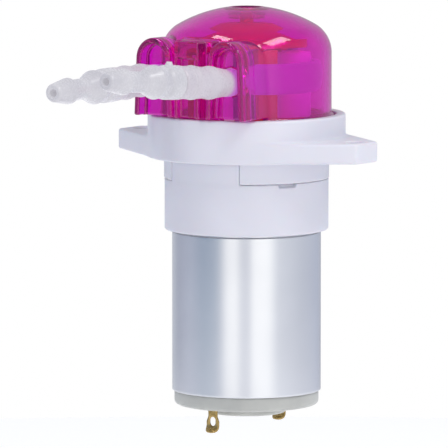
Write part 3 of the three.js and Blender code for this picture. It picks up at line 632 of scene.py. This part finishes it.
def seat_field(x, y, z):
    """The cup that holds the motor's can, with two tongues that stand in the skirt's windows."""
    r = np.hypot(x, y)
    shoulder = SEAT["shoulder"]
    cup = soft_max(soft_max(r - seat_high[0], seat_low[2] - z, 0.35), z - shoulder, 0.12)
    tongue = soft_max(r - seat_high[0], slab(z, shoulder - OVERLAP, seat_high[2]), 0.15)
    tongue = soft_max(tongue, sector(x, y, SEAT["tongue"]), 0.1)
    spigot = soft_max(r - SEAT["spigot"], slab(z, shoulder - OVERLAP, seat_high[2]), 0.3)
    body = soft_min(soft_min(cup, spigot, 0.2), tongue, 0.1)
    well = np.maximum(r - SEAT["well"], SEAT["floor_high"] - z)
    can_bore = np.maximum(r - SEAT["can_bore"], z - SEAT["floor_low"])
    wide_bore = np.maximum(r - SEAT["wide_bore"], z - SEAT["counterbore"])
    screws = np.hypot(np.abs(x) - SEAT["screw_x"], y) - SEAT["screw_hole"]
    holes = np.minimum(r - SEAT["nose_hole"], screws)
    for hollow in (well, can_bore, wide_bore, holes):
        body = soft_max(body, -hollow, 0.25)
    middle = math.radians((SEAT["notch_from"] + SEAT["notch_to"]) / 2)
    half = math.radians((SEAT["notch_to"] - SEAT["notch_from"]) / 2)
    turn = np.abs(x * math.cos(middle) + y * math.sin(middle))
    across = np.abs(y * math.cos(middle) - x * math.sin(middle))
    notch = across * math.cos(half) - turn * math.sin(half)
    notch = np.maximum(notch, slab(z, shoulder - SEAT["notch_high"], shoulder + SEAT["notch_over"]))
    notch = np.maximum(notch, seat_high[0] - SEAT["notch_deep"] - r)
    return soft_max(body, -notch, 0.15)


def third_turns(x, y, first, act):
    """Combines act(x, y) over three places a third of a turn apart."""
    total = None
    for index in range(3):
        a = math.radians(first + 120 * index)
        part = act(x * math.cos(a) + y * math.sin(a), y * math.cos(a) - x * math.sin(a))
        total = part if total is None else np.minimum(total, part)
    return total


def axle_holes(x, y):
    """Negative inside the three upright axle holes."""
    away = third_turns(x, y, CAGE["first"], lambda u, v: np.hypot(u - CAGE["orbit"], v))
    return away - CAGE["axle_hole"]


def cage_base_field(x, y, z):
    """The lower plate of the rotor cage, with three pillars."""
    r = np.hypot(x, y)
    plate_top = base_low[2] + CAGE["plate"]
    plate = np.maximum(r - base_high[0], CAGE["bore"] - r)
    plate = soft_max(plate, slab(z, base_low[2], plate_top), 0.3)
    pillars = third_turns(
        x, y, CAGE["first"] - 60,
        lambda u, v: soft_max(CAGE["pillar_inner"] - u, np.abs(v) - CAGE["pillar"] / 2, 0.3))
    pillars = soft_max(np.maximum(pillars, r - base_high[0]), slab(z, base_low[2], base_high[2]), 0.2)
    holes = np.maximum(axle_holes(x, y), base_low[2] + CAGE["axle_floor"] - z)
    return soft_max(soft_min(plate, pillars, 0.6), -holes, 0.2)


def cage_top_field(x, y, z):
    """The upper plate, with its tapered hub and the pin that runs in the cover."""
    r = np.hypot(x, y)
    plate_top = top_low[2] + CAGE["top_plate"]
    plate = soft_max(r - base_high[0], slab(z, top_low[2], plate_top), 0.35)
    lean = math.atan2(CAGE["hub"] - CAGE["hub_top"], CAGE["hub_high"] - plate_top)
    slope = (r - CAGE["hub"]) * math.cos(lean) + (z - plate_top) * math.sin(lean)
    hub = soft_max(slope, slab(z, plate_top - CAGE["hub_root"], CAGE["hub_high"]), 0.3)
    pin = soft_max(r - CAGE["pin"], slab(z, plate_top, top_high[2]), 0.3)
    body = soft_min(soft_min(plate, hub, 0.3), pin, 0.4)
    return soft_max(body, -axle_holes(x, y), 0.2)


def end_cap_field(x, y, z):
    """The nylon cap with its boss and bush, open toward the motor, with a slot for each tag."""
    r = np.hypot(x, y)
    body = soft_max(r - cap_high[0], CAP["low"] - z, 0.9)
    body = soft_max(body, z - ring_low[2] + CAP["joint"], 0.1)
    body = np.maximum(body, -np.maximum(r - CAP["lip"], CAP["high"] - z))
    boss = soft_max(r - CAP["boss"], slab(z, CAP["boss_low"], CAP["low"] + OVERLAP), 0.6)
    spigot = soft_max(r - CAP["spigot"], slab(z, CAP["high"] - OVERLAP, cap_high[2]), 0.3)
    body = soft_min(soft_min(body, boss, 0.35), spigot, 0.2)
    hollow = np.maximum(r - CAP["spigot"] + CAP["wall"], CAP["high"] - z)
    round_bush = np.minimum(CAP["bush"] + CAP["bush_wall"] - r, cap_high[2] - CAP["bush_drop"] - z)
    body = soft_max(body, -np.maximum(hollow, round_bush), 0.2)
    bush = np.maximum(r - CAP["bush"], CAP["boss_low"] + CAP["bush_floor"] - z)
    body = soft_max(body, -bush, 0.2)
    slot = np.abs(np.abs(y) - TERMINAL["y"]) - TERMINAL["half_thick"] - CAP["slot_gap_y"]
    slot = np.maximum(slot, np.abs(x) - TERMINAL["eye"] - CAP["slot_gap_x"])
    return soft_max(body, -slot, 0.2)


def terminal_field(x, y, z):
    """A solder tag in its own frame: y points outward, and the tip bends that way."""
    drop = TERMINAL["bend_z"] - z
    reach = TERMINAL["bend_r"] - y
    in_bend = drop > 0
    off = np.where(in_bend, TERMINAL["bend_r"] - np.hypot(reach, drop), y)
    along = np.where(in_bend, TERMINAL["bend_r"] * np.arctan2(drop, np.maximum(reach, 0.05)), drop)
    eye = TERMINAL["bend_z"] - TERMINAL["eye_z"]
    half = np.interp(along, [eye - TERMINAL["flare"], eye], [TERMINAL["neck"], TERMINAL["eye"]])
    end = TERMINAL["bend_r"] * math.radians(TERMINAL["bend"])
    outline = soft_max(np.abs(x) - half, along - end, TERMINAL["tip"])
    hole = np.hypot(x, np.maximum(np.abs(along - eye) - TERMINAL["stretch"], 0)) - TERMINAL["hole"]
    outline = soft_max(outline, -hole, 0.08)
    outline = np.maximum(outline, z - TERMINAL["top"])
    return soft_max(outline, np.abs(off) - TERMINAL["half_thick"], 0.25)


def add_field(name, field, node, cell, slot, body, low, high):
    points, faces = net(field, low, high, cell)
    add_mesh(name, points, faces, slot, body, [node])


def add_terminal(node, side):
    """One solder tag: side is its place along Y. The tips of both tags turn to the front."""
    low = np.array([-TERMINAL["eye"], -TERMINAL["margin"], terminal_low[2]])
    high = np.array([TERMINAL["eye"], TERMINAL["bend_r"] + TERMINAL["margin"], TERMINAL["top"]])
    points, faces = net(terminal_field, low, high, FINEST)
    across, out, up = points.T
    placed = np.stack([-across, side * TERMINAL["y"] - out, up], axis=1)
    add_mesh(f"{node}_tag", placed, faces, "brass", "housing", [node])


add_field(
    "pump_cover_clear", cover_field, "pump_cover", FINE, "cover", "housing", cover_low, cover_high)
add_field(
    "mounting_flange_moulded", flange_field, "mounting_flange", COARSE, "white_moulding", "housing",
    flange_low, flange_high)
add_field(
    "motor_seat_moulded", seat_field, "motor_seat", COARSE, "white_moulding", "housing",
    seat_low, seat_high)
add_field(
    "cage_base_moulded", cage_base_field, "cage_base", FINE, "cage_plastic", "rotor_cage",
    base_low, base_high)
add_field(
    "cage_top_moulded", cage_top_field, "cage_top", FINE, "cage_plastic", "rotor_cage",
    top_low, top_high)
add_field("end_cap_moulded", end_cap_field, "end_cap", COARSE, "cap_nylon", "housing", cap_low, cap_high)
add_terminal("terminal_front", -1)
add_terminal("terminal_rear", 1)

# ---------------------------------------------------------------- tube and hose connectors


def connector_axis(side):
    """Start, crosswise, upward and outward directions of a hose connector."""
    sign, yaw, pitch, _ = CONNECTOR_SIDES[side]
    yaw, pitch = math.radians(yaw), math.radians(pitch)
    start = Vector((sign * PORT["x"], PORT["front"], PORT["axis"]))
    out = Vector((math.cos(pitch) * math.sin(yaw), -math.cos(pitch) * math.cos(yaw), math.sin(pitch)))
    across = Vector((math.cos(yaw), math.sin(yaw), 0))
    return start, across, out.cross(across), out


def raise_nub(points):
    """Pulls the collar's top out into the small moulding nub."""
    across, up, along = points.T
    share = 1 - (across ** 2 + (along - CONNECTOR["nub"]) ** 2) / CONNECTOR["nub_r"] ** 2
    lift = np.sqrt(np.clip(3 * share, 0, 1)) * (CONNECTOR["nub_high"] - up)
    return np.stack([across, up + np.where(up > CONNECTOR["bore"] * 2, lift, 0), along], axis=1)


def add_connector(side):
    """One lathed connector, with extra rings across its collar for the nub to rise from."""
    bore, nub, reach = CONNECTOR["bore"], CONNECTOR["nub"], CONNECTOR["nub_reach"]
    outline = [(bore, CONNECTOR["start"])]
    outline += [(radius, along) for along, radius in CONNECTOR["profile"]]
    outline = rounded(outline + [(bore, CONNECTOR["end"])], 0.25)
    collar = next(i for i, (radius, along) in enumerate(outline) if radius > bore * 3 and along > nub)
    rings = np.arange(nub - reach, nub + reach, CONNECTOR["nub_step"])
    outline[collar:collar] = [(outline[collar][0], along) for along in rings]
    points, faces = lathe(outline, 120)
    start, across, up, out = connector_axis(side)
    roll = Matrix.Rotation(math.radians(CONNECTOR_SIDES[side][3]), 3, out)
    across, up = roll @ across, roll @ up
    placed = np.array(start) + raise_nub(np.array(points)) @ np.array([across, up, out])
    name = f"hose_connector_{side}"
    add_mesh(f"{name}_moulded", placed, faces, "connector_plastic", "housing", [name])


def sleeve_stations(side):
    """Centre, half width, half height and bore halves of the tube's end, from its free end inward."""
    start, _, _, out = connector_axis(side)
    inner_end, free_end = CONNECTOR["sleeve"][0][0], CONNECTOR["sleeve"][-1][0]
    stations = []
    for along in np.arange(free_end, inner_end, -TUBE["stretched_step"]):
        radius = np.interp(along, *zip(*CONNECTOR["sleeve"]))
        bore = np.interp(along, *zip(*CONNECTOR["sleeve_bore"]))
        stations.append((tuple(start + out * float(along)), radius, radius, bore, bore))
    return stations


def squeezed(point):
    """A station on the tube's bend or wall run: the nearer the rollers, the flatter the tube."""
    flat = (TUBE["flat_outer"] - TUBE["flat_inner"]) / 2
    half = min(max(math.hypot(point[0], point[1]) - TUBE["flat_inner"], flat), TUBE["r"])
    share = (TUBE["r"] - half) / (TUBE["r"] - flat)
    height = TUBE["r"] + (TUBE["flat_height"] / 2 - TUBE["r"]) * share
    wall = TUBE["r"] - TUBE["bore"]
    return (point, half, height, max(half - wall, TUBE["slit"] / 2), height - wall)


def tube_stations():
    """The whole tube, from the right port round the back wall to the left port."""
    turn = TUBE["turn"]
    centre_x, centre_y = PORT["x"] + turn, PORT["front"] + TUBE["turn_start"]
    wall_r = (TUBE["flat_inner"] + TUBE["flat_outer"]) / 2
    straight = np.arange(PORT["front"] + TUBE["start"], centre_y, TUBE["step"])
    right = [(PORT["x"], y, PORT["axis"]) for y in straight]
    for angle in np.linspace(0, math.atan2(-centre_y, centre_x), 10):
        x, y = centre_x - turn * math.cos(angle), centre_y + turn * math.sin(angle)
        right.append((x, y, PORT["axis"]))
    first = math.atan2(right[-1][1], right[-1][0])
    middle = [
        (wall_r * math.cos(a), wall_r * math.sin(a), PORT["axis"])
        for a in np.linspace(first, math.pi - first, 110)[1:-1]]
    left = [(-x, y, z) for x, y, z in reversed(right)]
    path = [squeezed(point) for point in right + middle + left]
    return sleeve_stations("right") + path + sleeve_stations("left")[::-1]


def add_tube(steps=40):
    """Sweeps the tube's oval section and its bore along the stations and closes both ends."""
    stations = tube_stations()
    centres = [Vector(station[0]) for station in stations]
    last = len(stations) - 1
    points, faces = [], []
    for index, (_, half, height, bore_half, bore_height) in enumerate(stations):
        forward = centres[min(index + 1, last)] - centres[max(index - 1, 0)]
        side = Vector((forward.y, -forward.x, 0)).normalized()
        up = side.cross(forward).normalized()
        for a, b in ((half, height), (bore_half, bore_height)):
            for step in range(steps):
                turn = 2 * math.pi * step / steps
                points.append(centres[index] + side * (a * math.cos(turn)) + up * (b * math.sin(turn)))
    for index in range(last):
        here, there = index * 2 * steps, (index + 1) * 2 * steps
        for i in range(steps):
            j = (i + 1) % steps
            faces.append([here + i, there + i, there + j, here + j])
            faces.append([here + steps + i, here + steps + j, there + steps + j, there + steps + i])
    end = last * 2 * steps
    for i in range(steps):
        j = (i + 1) % steps
        faces.append([i, j, steps + j, steps + i])
        faces.append([end + i, end + steps + i, end + steps + j, end + j])
    add_mesh("pump_tube_soft", points, faces, "silicone", "housing", ["pump_tube"])


for connector_side in CONNECTOR_SIDES:
    add_connector(connector_side)
add_tube()

# ---------------------------------------------------------------- lathed pieces


def add_lathe(name, outline, radius, node, slot, body, steps=96, centre=(0, 0)):
    points, faces = lathe(rounded(outline, radius), steps, centre)
    add_mesh(name, points, faces, slot, body, [node])


def add_sleeve():
    """The motor's satin sleeve, with a narrow groove under the seat."""
    outer, inner = ring_high[0], ring_high[0] - MOTOR_SLEEVE["wall"]
    bottom = outer - MOTOR_SLEEVE["groove"]
    low, high = ring_low[2], ring_high[2]
    edge = MOTOR_SLEEVE["edge"]
    groove_low = seat_low[2] - MOTOR_SLEEVE["groove_down"]
    groove_high = seat_low[2] + MOTOR_SLEEVE["groove_up"]
    outline = [
        (inner, low), (outer - edge, low), (outer, low + edge),
        (outer, low + MOTOR_SLEEVE["support_low"]),
        (outer, seat_low[2] - MOTOR_SLEEVE["support_high"]), (outer, groove_low),
        (bottom, groove_low + MOTOR_SLEEVE["lean_down"]),
        (bottom, groove_high - MOTOR_SLEEVE["lean_up"]),
        (outer, groove_high), (outer, high), (inner, high)]
    add_lathe("motor_sleeve_satin", outline, 0.12, "flux_ring", "motor_sleeve", "housing", steps=160)


def add_drive_sleeve():
    """The polished sleeve that the motor's shaft turns, between the three rollers."""
    outer, bore = sleeve_high[0], DRIVE_SLEEVE_BORE
    low, high = sleeve_low[2], sleeve_high[2]
    outline = [(bore, low), (outer, low), (outer, high), (bore, high)]
    add_lathe("drive_sleeve_turned", outline, 0.4, "drive_sleeve", "steel", "armature", steps=72)


def add_rollers():
    """Moulded rollers with a low hub step at each end."""
    outer = (roller_high[0] - roller_low[0]) / 2
    bore, hub, step = ROLLER["bore"], ROLLER["hub"], ROLLER["hub_step"]
    low, high = roller_low[2], roller_high[2]
    outline = [
        (bore, low), (hub, low), (hub, low + step), (outer, low + step), (outer, high - step),
        (hub, high - step), (hub, high), (bore, high)]
    for index in range(3):
        a = math.radians(CAGE["first"] + 120 * index)
        centre = (CAGE["orbit"] * math.cos(a), CAGE["orbit"] * math.sin(a))
        node = f"roller_{index + 1}"
        add_lathe(
            f"{node}_moulded", outline, 0.35, node, "roller_plastic", node, steps=64, centre=centre)


add_sleeve()
add_drive_sleeve()
add_rollers()

# ---------------------------------------------------------------- stage and light

WHITE = (1, 1, 1, 1)
FLOOR_HIGH, FLOOR_RADIUS, FLOOR_CORNERS = -0.12, 0.5, 96
FLOOR_GLOW = 0.34


def make_floor():
    mesh = bpy.data.meshes.new("floor")
    turns = [2 * math.pi * i / FLOOR_CORNERS for i in range(FLOOR_CORNERS)]
    rim = [(FLOOR_RADIUS * math.cos(a), FLOOR_RADIUS * math.sin(a), FLOOR_HIGH) for a in turns]
    mesh.from_pydata(rim, [], [list(range(FLOOR_CORNERS))])
    look = Nodes("pale floor")
    look.set(Base_Color=(0.85, 0.85, 0.86, 1), Roughness=0.9)
    look.set(Emission_Color=WHITE, Emission_Strength=FLOOR_GLOW)
    mesh.materials.append(look.material)
    floor = bpy.data.objects.new("floor", mesh)
    bpy.context.scene.collection.objects.link(floor)


# The studio round the object, as brightness by the angle from the camera's side (degrees, turning
# to the camera's right): white behind the object, dimmer sides and two soft upright lights in front.
STUDIO = [
    (-180, (0.45, 0.45, 0.48)), (-158, (0.62, 0.65, 0.72)), (-131, (0.44, 0.47, 0.57)),
    (-98, (0.50, 0.54, 0.66)), (-72, (0.34, 0.42, 0.54)), (-52, (0.38, 0.46, 0.58)),
    (-42, (0.55, 0.60, 0.70)), (-30, (1.25, 1.25, 1.25)), (-16, (1.32, 1.32, 1.30)),
    (-8, (0.78, 0.80, 0.87)), (4, (0.78, 0.80, 0.87)), (10, (1.36, 1.36, 1.34)),
    (34, (1.36, 1.36, 1.34)), (50, (0.80, 0.83, 0.90)), (95, (0.64, 0.67, 0.76)),
    (142, (0.56, 0.60, 0.72)), (180, (0.45, 0.45, 0.48)),
]
# The ceiling takes over from the studio between these two upward parts of a direction.
CEILING = {"color": (0.94, 0.95, 1.0, 1), "strength": 0.42, "from": 0.35, "to": 0.8}


def add_background(tree, color, strength):
    made = tree.nodes.new("ShaderNodeBackground")
    made.inputs["Color"].default_value = color
    made.inputs["Strength"].default_value = strength
    return made


def mix_shaders(tree, share, first, second):
    """Goes from the first node's shader to the second's as share goes from 0 to 1."""
    made = tree.nodes.new("ShaderNodeMixShader")
    tree.links.new(share, made.inputs["Fac"])
    tree.links.new(first.outputs[0], made.inputs[1])
    tree.links.new(second.outputs[0], made.inputs[2])
    return made


def make_world():
    """The object is lit by the studio and the ceiling, and the camera sees plain white paper."""
    world = bpy.data.worlds.new("studio")
    world.use_nodes = True
    bpy.context.scene.world = world
    tree = world.node_tree
    tree.nodes.clear()
    link = tree.links.new
    direction = tree.nodes.new("ShaderNodeTexCoord").outputs["Generated"]
    turned = tree.nodes.new("ShaderNodeVectorRotate")
    turned.rotation_type = "Z_AXIS"
    turned.inputs["Angle"].default_value = -CAMERA_TURN
    link(direction, turned.inputs["Vector"])
    split = tree.nodes.new("ShaderNodeSeparateXYZ")
    link(turned.outputs[0], split.inputs[0])
    front = tree.nodes.new("ShaderNodeMath")
    front.operation = "MULTIPLY"
    front.inputs[1].default_value = -1
    link(split.outputs["Y"], front.inputs[0])
    angle = tree.nodes.new("ShaderNodeMath")
    angle.operation = "ARCTAN2"
    link(split.outputs["X"], angle.inputs[0])
    link(front.outputs[0], angle.inputs[1])
    share = tree.nodes.new("ShaderNodeMapRange")
    share.inputs["From Min"].default_value = -math.pi
    share.inputs["From Max"].default_value = math.pi
    link(angle.outputs[0], share.inputs["Value"])
    ramp = tree.nodes.new("ShaderNodeValToRGB")
    stops = ramp.color_ramp.elements
    while len(stops) < len(STUDIO):
        stops.new(0.5)
    brightest = max(max(color) for _, color in STUDIO)
    for stop, (degrees, color) in zip(stops, STUDIO):
        stop.position = degrees / 360 + 0.5
        stop.color = (*[c / brightest for c in color], 1)
    link(share.outputs["Result"], ramp.inputs["Fac"])
    around = add_background(tree, WHITE, brightest)
    link(ramp.outputs["Color"], around.inputs["Color"])
    above = add_background(tree, CEILING["color"], CEILING["strength"])
    lift = tree.nodes.new("ShaderNodeMapRange")
    lift.interpolation_type = "SMOOTHSTEP"
    lift.inputs["From Min"].default_value = CEILING["from"]
    lift.inputs["From Max"].default_value = CEILING["to"]
    link(split.outputs["Z"], lift.inputs["Value"])
    room = mix_shaders(tree, lift.outputs["Result"], around, above)
    paper = add_background(tree, WHITE, 1.0)
    seen = tree.nodes.new("ShaderNodeLightPath")
    final = mix_shaders(tree, seen.outputs["Is Camera Ray"], room, paper)
    output = tree.nodes.new("ShaderNodeOutputWorld")
    link(final.outputs[0], output.inputs["Surface"])


def make_overhead(name, middle, long_way, size, power):
    """A soft box over the object. The two directions are (right, toward the camera, up)."""
    axes = Matrix((VIEW_RIGHT, VIEW_TOWARD, Vector((0, 0, 1)))).transposed()
    back = (axes @ Vector(middle)).normalized()
    side = (axes @ Vector(long_way)).cross(back).normalized()
    data = bpy.data.lights.new(name, "AREA")
    data.shape = "RECTANGLE"
    data.size, data.size_y = size
    data.energy = power
    lamp = bpy.data.objects.new(name, data)
    turned = Matrix((side, back.cross(side), back)).transposed().to_4x4()
    lamp.matrix_world = Matrix.Translation(back) @ turned
    bpy.context.scene.collection.objects.link(lamp)


make_floor()
make_world()
make_overhead("soft box left", (-0.40, 0.19, 0.87), (0.4, 0.9, 0), (0.23, 0.40), 2.6)
make_overhead("soft box right", (0.49, 0.30, 0.75), (-0.2, 1.0, 0), (0.25, 0.62), 3.9)

bpy.context.scene.view_settings.view_transform = "Standard"
